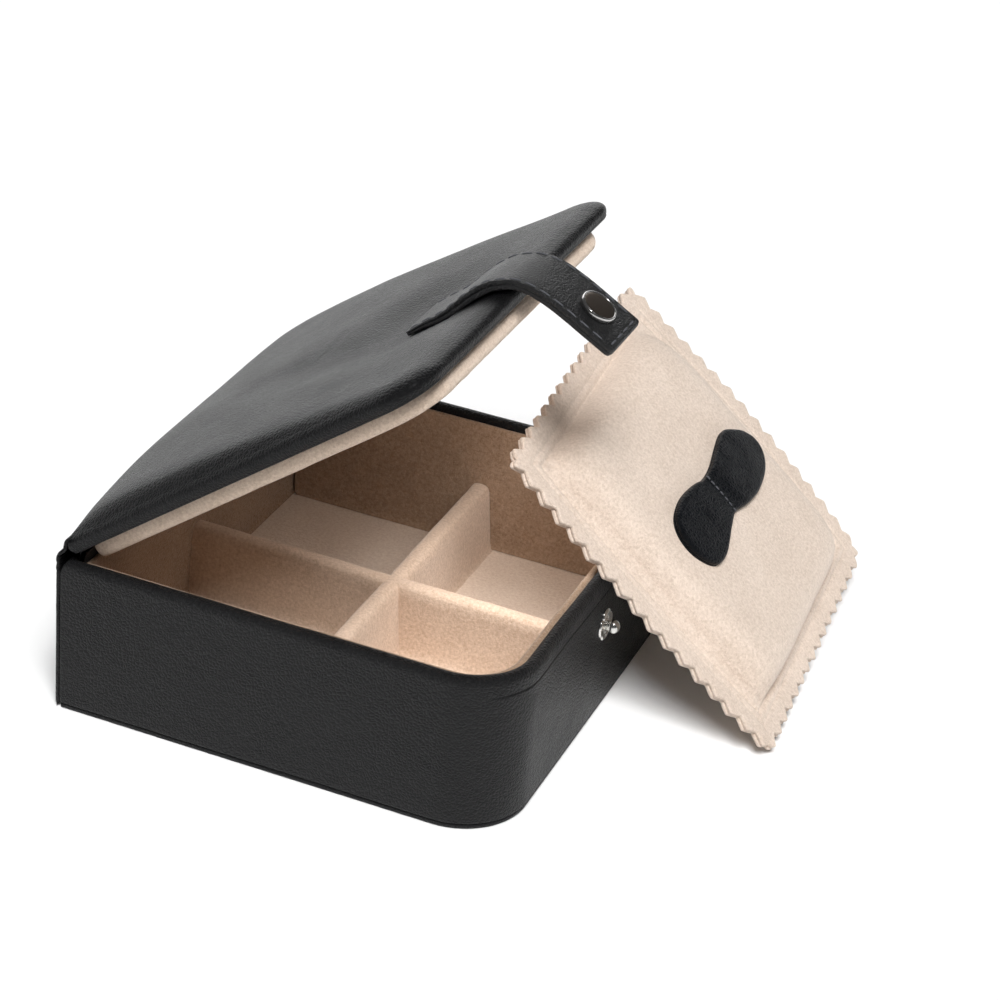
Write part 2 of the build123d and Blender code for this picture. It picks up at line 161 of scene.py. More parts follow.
def section(half, thick, r, groove=0.0, n_top=16):
    """Cross-section of a leather strip: closed loop of (across, below the outer face)."""
    pts = []
    top = np.linspace(-(half - r), half - r, n_top)
    pts += [(a, 0.0) for a in top]
    pts += [(half - r + r * sin(t), -r + r * cos(t)) for t in np.linspace(0, pi / 2, 6)[1:]]
    if groove:
        m = -thick / 2
        pts += [(half, m + 0.28), (half - groove * 0.5, m + 0.1), (half - groove, m), (half - groove * 0.5, m - 0.1), (half, m - 0.28)]
    pts += [(half - r + r * cos(t), -thick + r - r * sin(t)) for t in np.linspace(0, pi / 2, 6)]
    pts += [(a, -thick) for a in top[::-1][1:-1]]
    pts += [(-(half - r) - r * sin(t), -thick + r - r * cos(t)) for t in np.linspace(0, pi / 2, 6)]
    if groove:
        m = -thick / 2
        pts += [(-half, m - 0.28), (-half + groove * 0.5, m - 0.1), (-half + groove, m), (-half + groove * 0.5, m + 0.1), (-half, m + 0.28)]
    pts += [(-(half - r) - r * cos(t), -r + r * sin(t)) for t in np.linspace(0, pi / 2, 6)[:-1]]
    return np.array(pts)


def lathe(name, origin, axis, profile, material, body, segments=96, shape=None, start=None):
    """A turned piece: profile of (radius, height), in mm; shape(angle, radius) scales the radius."""
    axis = Vector(axis).normalized()
    side = (Vector(start) if start else axis.orthogonal()).normalized()
    other = axis.cross(side)
    rows = []
    for r, z in profile:
        row = []
        for k in range(segments):
            t = 2 * pi * k / segments
            rr = r * (shape(t, r) if shape else 1.0)
            row.append(Vector(origin) + side * rr * cos(t) + other * rr * sin(t) + axis * z)
        rows.append([tuple(v) for v in row])
    v, f = grid(rows, closed_cols=True, cap_first=True, cap_last=True)
    return build(name, v, f, material, body)


def stitches(name, places, length, radius, material, sink=0.3, body=None):
    """Short threads lying on a surface: places of (point, along, out), in mm."""
    verts, faces = [], []
    for p, t, n in places:
        p, t, n = Vector(p), Vector(t).normalized(), Vector(n).normalized()
        b = t.cross(n)
        base = len(verts)
        stations = [(-0.5, 0.02, -0.8), (-0.47, 0.62, -0.35), (-0.36, 0.92, 0.0), (-0.15, 1.0, 0.18), (0.15, 1.0, 0.18),
                    (0.36, 0.92, 0.0), (0.47, 0.62, -0.35), (0.5, 0.02, -0.8)]
        for s, w, lift in stations:
            for k in range(8):
                a = 2 * pi * k / 8
                verts.append(tuple(p + t * (s * length) + n * (radius * (lift - sink) + radius * w * sin(a) * 0.9) + b * (radius * w * cos(a))))
        for i in range(len(stations) - 1):
            for k in range(8):
                faces.append((base + i * 8 + k, base + i * 8 + (k + 1) % 8, base + (i + 1) * 8 + (k + 1) % 8, base + (i + 1) * 8 + k))
        faces.append(tuple(base + k for k in range(8)))
        faces.append(tuple(base + (len(stations) - 1) * 8 + k for k in range(8)))
    return build(name, verts, faces, material, body)


def swell(x0, x1, y0, y1, step, held, height, pressure, grow):
    """Cloth simulation of a thin skin over a grid, held where held is true and pressed up from below.
    Returns the grid's coordinates and how far each point rose, at most 1."""
    xs = np.linspace(x0, x1, int(round((x1 - x0) / step)) + 1)
    ys = np.linspace(y0, y1, int(round((y1 - y0) / step)) + 1)
    gx, gy = np.meshgrid(xs, ys, indexing="ij")
    pin = held(gx, gy)
    base = height(gx, gy)
    scale = 0.01
    verts = [(gx[i, j] * scale, gy[i, j] * scale, base[i, j] * scale) for i in range(len(xs)) for j in range(len(ys))]
    n = len(ys)
    faces = [(i * n + j, (i + 1) * n + j, (i + 1) * n + j + 1, i * n + j + 1) for i in range(len(xs) - 1) for j in range(n - 1)]
    mesh = bpy.data.meshes.new("skin")
    mesh.from_pydata(verts, [], faces)
    obj = bpy.data.objects.new("skin", mesh)
    scene.collection.objects.link(obj)
    group = obj.vertex_groups.new(name="held")
    flat = pin.reshape(-1)
    group.add([int(k) for k in np.nonzero(flat)[0]], 1.0, "REPLACE")
    mod = obj.modifiers.new("Cloth", "CLOTH")
    s = mod.settings
    s.quality = 6
    s.mass = 0.3
    s.tension_stiffness = 15
    s.compression_stiffness = 8
    s.shear_stiffness = 6
    s.bending_stiffness = 0.8
    s.vertex_group_mass = "held"
    s.use_pressure = True
    s.uniform_pressure_force = pressure
    s.shrink_min = -grow
    s.effector_weights.gravity = 0
    mod.collision_settings.use_collision = False
    mod.point_cache.frame_start = 1
    mod.point_cache.frame_end = 24
    for f in range(1, 25):
        scene.frame_set(f)
    dg = bpy.context.evaluated_depsgraph_get()
    ev = obj.evaluated_get(dg)
    out = np.zeros(len(verts) * 3)
    ev.data.vertices.foreach_get("co", out)
    z = out.reshape(-1, 3)[:, 2].reshape(gx.shape) / scale - base
    scene.frame_set(1)
    bpy.data.objects.remove(obj)
    bpy.data.meshes.remove(mesh)
    if not np.isfinite(z).all() or np.abs(z).max() < 1e-6:
        raise RuntimeError("the skin did not swell")
    z = z * np.sign(z[np.unravel_index(np.abs(z).argmax(), z.shape)])
    z = np.where(pin, 0.0, np.minimum(z, np.percentile(z, 99.0)))
    for _ in range(14):
        r = z.copy()
        r[1:-1, 1:-1] = z[1:-1, 1:-1] * 0.5 + (z[:-2, 1:-1] + z[2:, 1:-1] + z[1:-1, :-2] + z[1:-1, 2:]) / 8
        z = np.where(pin, 0.0, r)
    return xs, ys, z / z.max()


def sampler(xs, ys, z):
    """Reads a height grid at any points, even between its own."""
    def at(x, y):
        fx = np.clip((np.asarray(x, float) - xs[0]) / (xs[1] - xs[0]), 0, len(xs) - 1.001)
        fy = np.clip((np.asarray(y, float) - ys[0]) / (ys[1] - ys[0]), 0, len(ys) - 1.001)
        i, j = fx.astype(int), fy.astype(int)
        a, b = smooth(fx - i) * 0.35 + (fx - i) * 0.65, smooth(fy - j) * 0.35 + (fy - j) * 0.65
        return (z[i, j] * (1 - a) * (1 - b) + z[i + 1, j] * a * (1 - b) + z[i, j + 1] * (1 - a) * b + z[i + 1, j + 1] * a * b)
    return at


# ---------------------------------------------------------------- materials
def new_material(name):
    m = bpy.data.materials.new(name)
    m.use_nodes = True
    return m, m.node_tree, m.node_tree.nodes["Principled BSDF"]


def node(nt, kind, **values):
    n = nt.nodes.new(kind)
    for k, v in values.items():
        if k in n.inputs:
            n.inputs[k].default_value = v
        else:
            setattr(n, k, v)
    return n


def ramp(nt, source, stops, interpolation="LINEAR"):
    r = nt.nodes.new("ShaderNodeValToRGB")
    r.color_ramp.interpolation = interpolation
    while len(r.color_ramp.elements) < len(stops):
        r.color_ramp.elements.new(0.5)
    for e, (pos, col) in zip(r.color_ramp.elements, stops):
        e.position = pos
        e.color = (*col, 1.0) if isinstance(col, tuple) else (col, col, col, 1.0)
    nt.links.new(source, r.inputs["Fac"])
    return r


def maths(nt, operation, a, b=None, clamp=False):
    m = nt.nodes.new("ShaderNodeMath")
    m.operation = operation
    m.use_clamp = clamp
    for k, v in enumerate((a, b)):
        if v is None:
            continue
        if isinstance(v, (int, float)):
            m.inputs[k].default_value = v
        else:
            nt.links.new(v, m.inputs[k])
    return m.outputs[0]


def leather(name, dark, light, grain=0.75, rough=(0.40, 0.52), bump=0.55, coat=0.12, stretch=(1, 1, 1), specular=0.5):
    """Grained leather: pebbles with creases between them, pores and slow tone changes."""
    m, nt, b = new_material(name)
    tex = nt.nodes.new("ShaderNodeTexCoord")
    mp = nt.nodes.new("ShaderNodeMapping")
    mp.inputs["Scale"].default_value = stretch
    nt.links.new(tex.outputs["Object"], mp.inputs["Vector"])
    warp = node(nt, "ShaderNodeTexNoise", Scale=320.0, Detail=2.0)
    nt.links.new(mp.outputs[0], warp.inputs["Vector"])
    mix = nt.nodes.new("ShaderNodeVectorMath")
    mix.operation = "MULTIPLY_ADD"
    nt.links.new(warp.outputs["Color"], mix.inputs[0])
    mix.inputs[1].default_value = (0.0009, 0.0009, 0.0009)
    nt.links.new(mp.outputs[0], mix.inputs[2])
    cells = node(nt, "ShaderNodeTexVoronoi", feature="DISTANCE_TO_EDGE", Scale=1000.0 / grain)
    nt.links.new(mix.outputs[0], cells.inputs["Vector"])
    pebble = ramp(nt, cells.outputs["Distance"], [(0.0, 0.0), (0.16, 0.75), (0.42, 1.0)], "B_SPLINE")
    fine = node(nt, "ShaderNodeTexNoise", Scale=3200.0, Detail=5.0, Roughness=0.65)
    nt.links.new(mp.outputs[0], fine.inputs["Vector"])
    slow = node(nt, "ShaderNodeTexNoise", Scale=90.0, Detail=3.0)
    nt.links.new(mp.outputs[0], slow.inputs["Vector"])
    folds = node(nt, "ShaderNodeTexNoise", Scale=420.0, Detail=3.0, Roughness=0.6)
    nt.links.new(mp.outputs[0], folds.inputs["Vector"])
    height = maths(nt, "ADD", maths(nt, "MULTIPLY", pebble.outputs["Color"], 0.62),
                   maths(nt, "ADD", maths(nt, "MULTIPLY", fine.outputs["Fac"], 0.34), maths(nt, "MULTIPLY", folds.outputs["Fac"], 0.9)))
    bp = node(nt, "ShaderNodeBump", Strength=bump, Distance=0.00034)
    nt.links.new(height, bp.inputs["Height"])
    nt.links.new(bp.outputs["Normal"], b.inputs["Normal"])
    tone = ramp(nt, maths(nt, "ADD", maths(nt, "MULTIPLY", slow.outputs["Fac"], 0.6), maths(nt, "MULTIPLY", pebble.outputs["Color"], 0.4)),
                [(0.25, dark), (0.85, light)])
    nt.links.new(tone.outputs["Color"], b.inputs["Base Color"])
    rg = ramp(nt, maths(nt, "ADD", maths(nt, "MULTIPLY", slow.outputs["Fac"], 0.5), maths(nt, "MULTIPLY", fine.outputs["Fac"], 0.5)),
              [(0.3, rough[0]), (0.7, rough[1])])
    nt.links.new(rg.outputs["Color"], b.inputs["Roughness"])
    b.inputs["Specular IOR Level"].default_value = specular
    b.inputs["Coat Weight"].default_value = coat
    b.inputs["Coat Roughness"].default_value = 0.26
    return m


def suede(name, dark, light, bump=0.7, nap=0.35, scale=1.0):
    """Microsuede: short nap with soft mottling where it has been brushed."""
    m, nt, b = new_material(name)
    tex = nt.nodes.new("ShaderNodeTexCoord")
    fibre = node(nt, "ShaderNodeTexNoise", Scale=3000.0 * scale, Detail=4.0, Roughness=0.75)
    nt.links.new(tex.outputs["Object"], fibre.inputs["Vector"])
    clump = node(nt, "ShaderNodeTexNoise", Scale=1300.0 * scale, Detail=3.0, Roughness=0.6)
    nt.links.new(tex.outputs["Object"], clump.inputs["Vector"])
    brushed = node(nt, "ShaderNodeTexNoise", Scale=65.0, Detail=4.0, Roughness=0.55, Distortion=0.6)
    nt.links.new(tex.outputs["Object"], brushed.inputs["Vector"])
    mixed = maths(nt, "ADD", maths(nt, "MULTIPLY", fibre.outputs["Fac"], 0.40),
                  maths(nt, "ADD", maths(nt, "MULTIPLY", clump.outputs["Fac"], 0.45), maths(nt, "MULTIPLY", brushed.outputs["Fac"], 0.15)))
    tone = ramp(nt, mixed, [(0.38, dark), (0.60, light)])
    nt.links.new(tone.outputs["Color"], b.inputs["Base Color"])
    height = maths(nt, "ADD", maths(nt, "MULTIPLY", fibre.outputs["Fac"], 0.6), maths(nt, "MULTIPLY", clump.outputs["Fac"], 1.1))
    bp = node(nt, "ShaderNodeBump", Strength=bump, Distance=0.0003)
    nt.links.new(height, bp.inputs["Height"])
    nt.links.new(bp.outputs["Normal"], b.inputs["Normal"])
    rg = ramp(nt, clump.outputs["Fac"], [(0.3, 0.86), (0.7, 0.98)])
    nt.links.new(rg.outputs["Color"], b.inputs["Roughness"])
    b.inputs["Specular IOR Level"].default_value = 0.18
    b.inputs["Sheen Weight"].default_value = nap
    b.inputs["Sheen Roughness"].default_value = 0.45
    b.inputs["Sheen Tint"].default_value = (1.0, 0.93, 0.86, 1.0)
    return m


def metal(name, colour, rough, wear=0.06):
    """Plated metal with faint rubbing marks."""
    m, nt, b = new_material(name)
    tex = nt.nodes.new("ShaderNodeTexCoord")
    marks = node(nt, "ShaderNodeTexNoise", Scale=1400.0, Detail=4.0, Roughness=0.7)
    nt.links.new(tex.outputs["Object"], marks.inputs["Vector"])
    rg = ramp(nt, marks.outputs["Fac"], [(0.35, rough), (0.75, rough + wear * 2)])
    nt.links.new(rg.outputs["Color"], b.inputs["Roughness"])
    tone = ramp(nt, marks.outputs["Fac"], [(0.3, tuple(c * 0.86 for c in colour)), (0.7, colour)])
    nt.links.new(tone.outputs["Color"], b.inputs["Base Color"])
    bp = node(nt, "ShaderNodeBump", Strength=0.08, Distance=0.00004)
    nt.links.new(marks.outputs["Fac"], bp.inputs["Height"])
    nt.links.new(bp.outputs["Normal"], b.inputs["Normal"])
    b.inputs["Metallic"].default_value = 1.0
    return m


def fibres(name, dark, light, scale, bump, rough=0.9):
    """Matt board, wadding or thread: fibres with small flecks."""
    m, nt, b = new_material(name)
    tex = nt.nodes.new("ShaderNodeTexCoord")
    n1 = node(nt, "ShaderNodeTexNoise", Scale=scale, Detail=6.0, Roughness=0.7)
    nt.links.new(tex.outputs["Object"], n1.inputs["Vector"])
    tone = ramp(nt, n1.outputs["Fac"], [(0.3, dark), (0.7, light)])
    nt.links.new(tone.outputs["Color"], b.inputs["Base Color"])
    bp = node(nt, "ShaderNodeBump", Strength=bump, Distance=0.0001)
    nt.links.new(n1.outputs["Fac"], bp.inputs["Height"])
    nt.links.new(bp.outputs["Normal"], b.inputs["Normal"])
    b.inputs["Roughness"].default_value = rough
    return m


SHELL = leather("leather_shell", (0.006, 0.006, 0.0065), (0.013, 0.013, 0.0135), grain=0.95, rough=(0.38, 0.52), bump=1.0, coat=0.0, specular=0.26)
LID = leather("leather_lid", (0.004, 0.004, 0.0045), (0.010, 0.010, 0.0105), grain=0.95, rough=(0.36, 0.48), bump=0.95, coat=0.12, specular=0.16)
STRAP = leather("leather_strap", (0.007, 0.007, 0.0075), (0.016, 0.016, 0.0165), grain=0.8, rough=(0.40, 0.54), bump=0.7, coat=0.05, specular=0.5)
TAB = leather("leather_tab", (0.0015, 0.002, 0.003), (0.005, 0.006, 0.008), grain=0.95, rough=(0.30, 0.42), bump=0.9, coat=0.0, specular=0.17)
# Wall lining: the same suede as the floor lining, painted darker. This is painted shade for the shadow the open lid
# casts on the walls.
LINING_PAINTED_SHADE = suede("suede_lining_painted_shade", (0.24, 0.15, 0.09), (0.42, 0.29, 0.20), bump=1.0)
DIVIDER_SUEDE = suede("suede_divider", (0.50, 0.36, 0.26), (0.72, 0.56, 0.44))
UNDER_SUEDE = suede("suede_under", (0.60, 0.45, 0.34), (0.84, 0.68, 0.55), bump=1.0, nap=0.5)
FLOOR_SUEDE = suede("suede_floor", (0.66, 0.51, 0.40), (0.85, 0.71, 0.59))
PAD_SUEDE = suede("suede_pad", (0.60, 0.48, 0.39), (0.83, 0.70, 0.60), bump=1.0, nap=0.45)
NICKEL = metal("nickel_plate", (0.80, 0.79, 0.76), 0.16)
CAP = metal("cap_bronze", (0.30, 0.245, 0.205), 0.28)
CAP_RIM = metal("cap_rim", (0.62, 0.61, 0.60), 0.14)
THREAD = fibres("thread_grey", (0.045, 0.046, 0.052), (0.135, 0.138, 0.15), 5200.0, 0.6)
BOARD = fibres("grey_board", (0.17, 0.155, 0.14), (0.29, 0.27, 0.245), 1500.0, 0.5)
WADDING = fibres("wadding", (0.72, 0.71, 0.68), (0.88, 0.87, 0.85), 900.0, 0.8)
TAPE = leather("hinge_tape", (0.030, 0.030, 0.031), (0.075, 0.073, 0.070), grain=0.5, rough=(0.55, 0.7), bump=0.4, coat=0.0)

for name, mat in {"base_sole": SHELL, "floor_board": BOARD, "wall_board": BOARD, "stud_washer": NICKEL,
                  "stud_ball": NICKEL, "snap_socket": NICKEL, "lid_board": BOARD, "insert_board": BOARD}.items():
    data = nodes[name].data
    data.materials.clear()
    data.materials.append(mat)

# ------------------------------------------------------------- base: shell
TRAY = (-56.4, 57.6, -60.6, 60.6, (0.8, 16.9, 16.9, 0.8))


def tray_loop(inset, step):
    x0, x1, y0, y1, radii = TRAY
    return rounded_loop(x0, x1, y0, y1, radii, inset, step)


def back_drop(x, y, z):
    """The side walls round down at the back, and the back wall stops under the hinge."""
    t = np.clip((-53.7 - x) / 2.6, 0, 1)
    corner = 2.6 * (1 - np.sqrt(np.clip(1 - t * t, 0, 1)))
    wall = 2.55 * smooth((56.9 - np.abs(y)) / 0.6) * smooth((-52.4 - x) / 0.3)
    return np.maximum(corner, wall) * np.clip((z - 32.0) / 7.0, 0, 1)


profile = [(4.6, 1.2), (3.6, 0.3), (3.0, 0.08), (1.2, 0.04), (0.55, 0.1), (0.3, 0.35), (0.28, 0.8), (0.34, 1.1), (0.62, 1.28), (0.66, 1.38), (0.3, 1.5), (0.1, 1.72), (0.02, 2.05), (0.0, 2.5)]
profile += [(0.0, z) for z in np.arange(4.0, 34.9, 1.6)]
profile += [(0.0, z) for z in np.arange(34.9, 36.6, 0.16)]
profile += [(0.0, 37.4), (0.0, 38.3), (0.03, 38.9), (0.12, 39.4), (0.28, 39.8), (0.5, 40.15), (0.78, 40.42), (1.1, 40.62), (1.5, 40.76),
            (1.9, 40.8), (2.3, 40.74), (2.65, 40.58), (2.95, 40.32), (3.2, 39.95), (3.38, 39.5), (3.5, 39.0), (3.56, 38.0), (3.56, 34.0)]
STEP = 0.45
rows = []
base_loop, base_dir = tray_loop(0.0, STEP)
run, whole = along(base_loop)
for t, z in profile:
    p, n = tray_loop(t, STEP)
    zz = np.full(len(p), z)
    pts = np.column_stack([p, zz])
    push = 0.16 * wobble(pts, 26.0, 3.1) + 0.05 * wobble(pts, 6.0, 9.4)
    front = smooth((n[:, 0] - 0.55) / 0.3) * smooth((16 - p[:, 1]) / 14)
    push += -0.34 * np.exp(-((z - 35.75 - 0.12 * np.sin(p[:, 1] / 5.0)) / 0.24) ** 2) * front
    push += 0.10 * smooth((z - 35.6) / 0.8) * front * (1.0 if t < 0.2 else 0.0)
    if 39.3 < z < 40.65 and t < 1.3:
        near = smooth((-n[:, 1] - 0.5) / 0.4)
        push += -0.13 * (0.5 + 0.5 * np.sin(2 * pi * run / 1.55 + 0.9 * np.sin(run / 7.3))) ** 2 * near
    if z > 39.0:
        zz = zz + 0.12 * wobble(pts, 16.0, 5.5) * min(1.0, (z - 38.9) / 1.2)
    zz = zz - back_drop(p[:, 0], p[:, 1], zz)
    xy = p + n * push[:, None] * (1.0 if z > 1.0 else 0.2)
    xy[:, 0] = np.minimum(np.maximum(xy[:, 0], -56.45), 58.2)
    rows.append(np.column_stack([xy, zz]))
v, f = grid(rows, closed_cols=True)
shell = build("wall_cover", v, f, SHELL, "base")
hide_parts("wall_leather")

# ------------------------------------------------------- base: suede lining
def lining_rows(path, outward, t_out, t_in, z0, z1, step_z=2.2, soft=0.16, seed=0.0, flare=0.0):
    """Cross-section of a soft lining strip between two offsets, with a rounded top, as (offset, height) pairs."""
    half = (t_in - t_out) / 2
    prof = [(t_out, z0), (t_out, z1 - half)]
    prof += [(t_out + half - half * cos(a), z1 - half + half * sin(a)) for a in np.linspace(0, pi, 9)[1:-1]]
    prof += [(t_in, z1 - half)]
    prof += [(t_in, z) for z in np.arange(z1 - half - 1.2, z0 + 1.2, -step_z)]
    prof += [(t_in + 0.3, z0 + 0.7), (t_in + 0.9, z0 + 0.15)]
    return prof


lining_path, lining_dir = tray_loop(0.0, 0.9)
keep = [k for k in range(len(lining_path)) if lining_path[k][0] > -55.5 or abs(lining_path[k][1]) > 59.0]
rows = []
for t, z in lining_rows(None, None, 3.62, 5.55, 4.0, 39.3):
    p, n = tray_loop(t, 0.9)
    pts = np.column_stack([p, np.full(len(p), z)])
    inner = 1.0 if t > 5.0 else 0.0
    push = (0.22 * wobble(pts, 21.0, 7.7) + 0.08 * wobble(pts, 5.0, 1.9)) * inner
    zz = pts[:, 2] + (0.22 * wobble(pts, 12.0, 2.2) if z > 36 else 0.0)
    zz = zz - back_drop(p[:, 0], p[:, 1], zz) * (p[:, 0] < -52.0)
    x = np.maximum(p[:, 0] - n[:, 0] * push, -52.6)
    rows.append(np.column_stack([x, p[:, 1] - n[:, 1] * push, zz])[keep])
v, f = grid(rows)
# the side walls take the lining suede with painted shade
wrap = build("lining_wrap", v, f, LINING_PAINTED_SHADE, "base")
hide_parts("wrap_lining")

rows = []
ys = np.linspace(-56.0, 56.0, 140)
for t, z in lining_rows(None, None, 0.0, 1.05, 4.0, 38.35):
    pts = np.column_stack([np.full(len(ys), -52.68 + t), ys, np.full(len(ys), z)])
    inner = 1.0 if t > 0.8 else 0.0
    pts[:, 0] += (0.14 * wobble(pts, 19.0, 4.4)) * inner
    rows.append(pts)
v, f = grid(rows)
# the back wall takes the lining suede with painted shade
back_l = build("lining_back", v, f, LINING_PAINTED_SHADE, "base")
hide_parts("back_lining")

rings = []
for k, s in enumerate([1.0, 1.0, 0.985, 0.96, 0.92, 0.86] + list(np.linspace(0.8, 0.03, 26))):
    p, n = rounded_loop(-51.8, 51.95, -54.95, 54.95, (0.6, 12.4, 12.4, 0.6), 0.0, 1.1)
    c = np.array([0.07, 0.0])
    q = c + (p - c) * s
    z = np.full(len(q), 3.1 if k == 0 else 4.0)
    pts = np.column_stack([q, z])
    if k:
        pts[:, 2] += 0.16 * wobble(pts, 17.0, 6.6) + 0.07 * wobble(pts, 4.5, 0.4)
    rings.append(pts)
v, f = grid(rings, closed_cols=True, cap_first=True, cap_last=True)
floor_l = build("lining_floor", v, f, FLOOR_SUEDE, "base")
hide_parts("floor_lining")


def divider(name, start, end, node_name, seed):
    """A suede-covered board, rounded on top, wider at the foot, with a soft bend where the cloth meets the floor."""
    a, b = np.array(start, float), np.array(end, float)
    u = (b - a) / np.linalg.norm(b - a)
    w = np.array([-u[1], u[0]])
    length = np.linalg.norm(b - a)
    n = int(length / 0.9)
    lean = tan(radians(6.0))
    half = [(z, 2.35 + (22.3 - z) * lean) for z in np.arange(5.4, 21.1, 1.5)]
    side = [(3.95, 5.4), (4.1, 4.85), (4.6, 4.5)] + half
    r = 1.75
    top = [(22.3 - r + r * sin(t), 2.4 - r + r * cos(t)) for t in np.linspace(0.1, pi / 2, 7)]
    top += [(22.34, 0.3)]
    right = side + top
    prof = [(z, -t) for z, t in right] + [(z, t) for z, t in right[::-1]]
    rows = []
    for z, t in prof:
        row = []
        for k in range(n + 1):
            p = a + u * (length * k / n)
            row.append((p[0] + w[0] * t, p[1] + w[1] * t, z))
        row = np.array(row)
        soft = 0.2 * wobble(row, 15.0, seed) + 0.07 * wobble(row, 4.0, seed + 3)
        row[:, 0] += w[0] * soft * np.sign(t)
        row[:, 1] += w[1] * soft * np.sign(t)
        if z > 20:
            row[:, 2] += 0.14 * wobble(row, 11.0, seed + 5)
        rows.append(row)
    v, f = grid(np.array(rows))
    d = build(name, v, f, DIVIDER_SUEDE, "base")
    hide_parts(node_name)
    return d


divider("divider_deep", (-51.7, 0.0), (51.9, 0.0), "divider_long", 1.3)
divider("divider_wide", (2.6, -54.9), (2.6, 54.9), "divider_cross", 8.3)

# --------------------------------------------------------------- stud
def petals(t, r):
    if r < 2.0:
        return 1.0
    return 0.80 + 0.20 * abs(cos(2 * t)) ** 0.7


lathe_profile = [(3.2, 0.02), (4.15, 0.05), (4.25, 0.25), (4.18, 0.55), (3.9, 0.80), (3.5, 0.93), (3.1, 0.9), (2.8, 0.72), (2.55, 0.70),
                 (2.3, 0.86), (2.05, 1.0), (1.75, 1.06), (1.3, 1.1), (0.9, 1.12)]
flange = lathe("stud_rosette", (57.5, 0.0, 26.4), (1, 0, 0), lathe_profile, NICKEL, "base", 120, petals, (0, 0, 1))
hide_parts("stud_flange")

# ------------------------------------------------------------ back and hinge
A = radians(37.42)


def lid_point(d, y, h):
    return (-55.0 + d * cos(A) - h * sin(A), y, 41.1 + d * sin(A) + h * cos(A))


def lid_points(d, y, h):
    d, y, h = np.broadcast_arrays(np.asarray(d, float), np.asarray(y, float), np.asarray(h, float))
    return np.stack([-55.0 + d * cos(A) - h * sin(A), y, 41.1 + d * sin(A) + h * cos(A)], -1)


def sheet_along_y(name, path, thick, half_y, material, step=0.5, crumple=0.0, seed=0.0, y_step=1.2, edge=None):
    """A leather sheet: path of (x, z) for its outer face, swept along y, with rounded long and short edges."""
    line, at = resample(path, step)
    tan_ = np.gradient(line, axis=0)
    tan_ /= np.linalg.norm(tan_, axis=1)[:, None]
    nrm = np.column_stack([-tan_[:, 1], tan_[:, 0]])
    ends = np.clip(np.minimum(at, at[-1] - at) / 0.45, 0, 1)
    ys = np.concatenate([[-half_y, -half_y + 0.08, -half_y + 0.25, -half_y + 0.5], np.arange(-half_y + 1.2, half_y - 1.0, y_step),
                         [half_y - 0.5, half_y - 0.25, half_y - 0.08, half_y]])
    rows = []
    for y in ys:
        e = np.clip((half_y - abs(y)) / 0.5, 0, 1)
        round_y = sqrt(max(0.0, 1 - (1 - e) ** 2))
        th = thick * (0.25 + 0.75 * round_y) * (0.3 + 0.7 * np.sqrt(1 - (1 - ends) ** 2))
        drop = (thick - th) / 2
        p3 = np.column_stack([line[:, 0], np.full(len(line), y), line[:, 1]])
        c = crumple * wobble(p3 * np.array([1.0, 0.55, 1.0]), 2.2, seed) + crumple * 1.3 * wobble(p3, 14.0, seed + 2)
        outer = line - nrm * (drop - c)[:, None]
        inner = line - nrm * (drop + th)[:, None]
        loop = np.vstack([outer, inner[::-1]])
        rows.append(np.column_stack([loop[:, 0], np.full(len(loop), y), loop[:, 1]]))
    v, f = grid(rows, closed_cols=True, cap_first=True, cap_last=True)
    return build(name, v, f, material)


# outer faces run upwards; the normal points to -x
panel = sheet_along_y("back_panel", [(-57.5, 0.5), (-57.52, 8.0), (-57.5, 20.0), (-57.5, 30.0), (-57.48, 38.2)], 1.1, 60.3, SHELL, 0.9, 0.035, 2.0)
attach(panel, "base")
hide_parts("back_cover")


def ring(deg, r=2.5):
    return (-55.0 + r * cos(radians(deg)), 41.1 + r * sin(radians(deg)))


lower = sheet_along_y("hinge_back", [(-57.46, 37.3), (-57.62, 38.6), (-57.45, 39.7), (-57.62, 40.6), ring(172), ring(163), ring(156)], 0.95, 60.25, LID, 0.3, 0.05, 4.0)
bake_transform(lower)
l0, l1, l2, l3 = lid_point(1.05, 0, 2.7), lid_point(1.75, 0, 3.4), lid_point(2.6, 0, 4.1), lid_point(3.7, 0, 4.5)
upper = sheet_along_y("hinge_top", [ring(160), ring(150), ring(140), ring(129), (l0[0], l0[2]), (l1[0], l1[2]), (l2[0], l2[2]), (l3[0], l3[2])], 0.95, 60.15, LID, 0.3, 0.05, 6.0)
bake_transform(upper)
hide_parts("spine_leather")
q0, q1, q2 = lid_point(2.0, 0, -0.9), lid_point(5.0, 0, -0.75), lid_point(8.5, 0, -0.35)
inner_strip = sheet_along_y("hinge_inside", [(-53.0, 36.6), (-53.15, 38.2), (-53.4, 39.4), (-53.1, 40.4), (q0[0], q0[2]), (q1[0], q1[2]), (q2[0], q2[2])][::-1], 0.6, 56.0, TAPE, 0.35, 0.05, 8.0)
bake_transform(inner_strip)
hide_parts("spine_lining")

# ------------------------------------------------------------------- lid
LID_D0, LID_D1, LID_Y = 1.85, 108.5, 60.3
EDGE_IN = 5.6
SEAM_IN = 1.8


def lid_loop(inset, step=0.9):
    return rounded_loop(LID_D0, LID_D1, -LID_Y, LID_Y, (1.6, 11.5, 11.5, 1.6), inset, step)


def lid_held(d, y):
    r = 9.7
    cx = np.maximum(d - (LID_D1 - SEAM_IN - r), 0)
    cy = np.maximum(np.abs(y) - (LID_Y - SEAM_IN - r), 0)
    outside = (np.abs(y) > LID_Y - SEAM_IN - 0.3) | (d < LID_D0 + SEAM_IN + 0.3) | (d > LID_D1 - SEAM_IN - 0.3) | (np.hypot(cx, cy) > r - 0.3)
    sewn = (d > 78.2) & (d < 91.5) & (np.abs(y) < 9.6)
    return outside | sewn


def lid_base(d, y):
    e = np.maximum(np.abs(d - 84.9) / 6.7, np.abs(y) / 9.6)
    return 5.0 - 0.45 * smooth((1.5 - e) / 0.5)


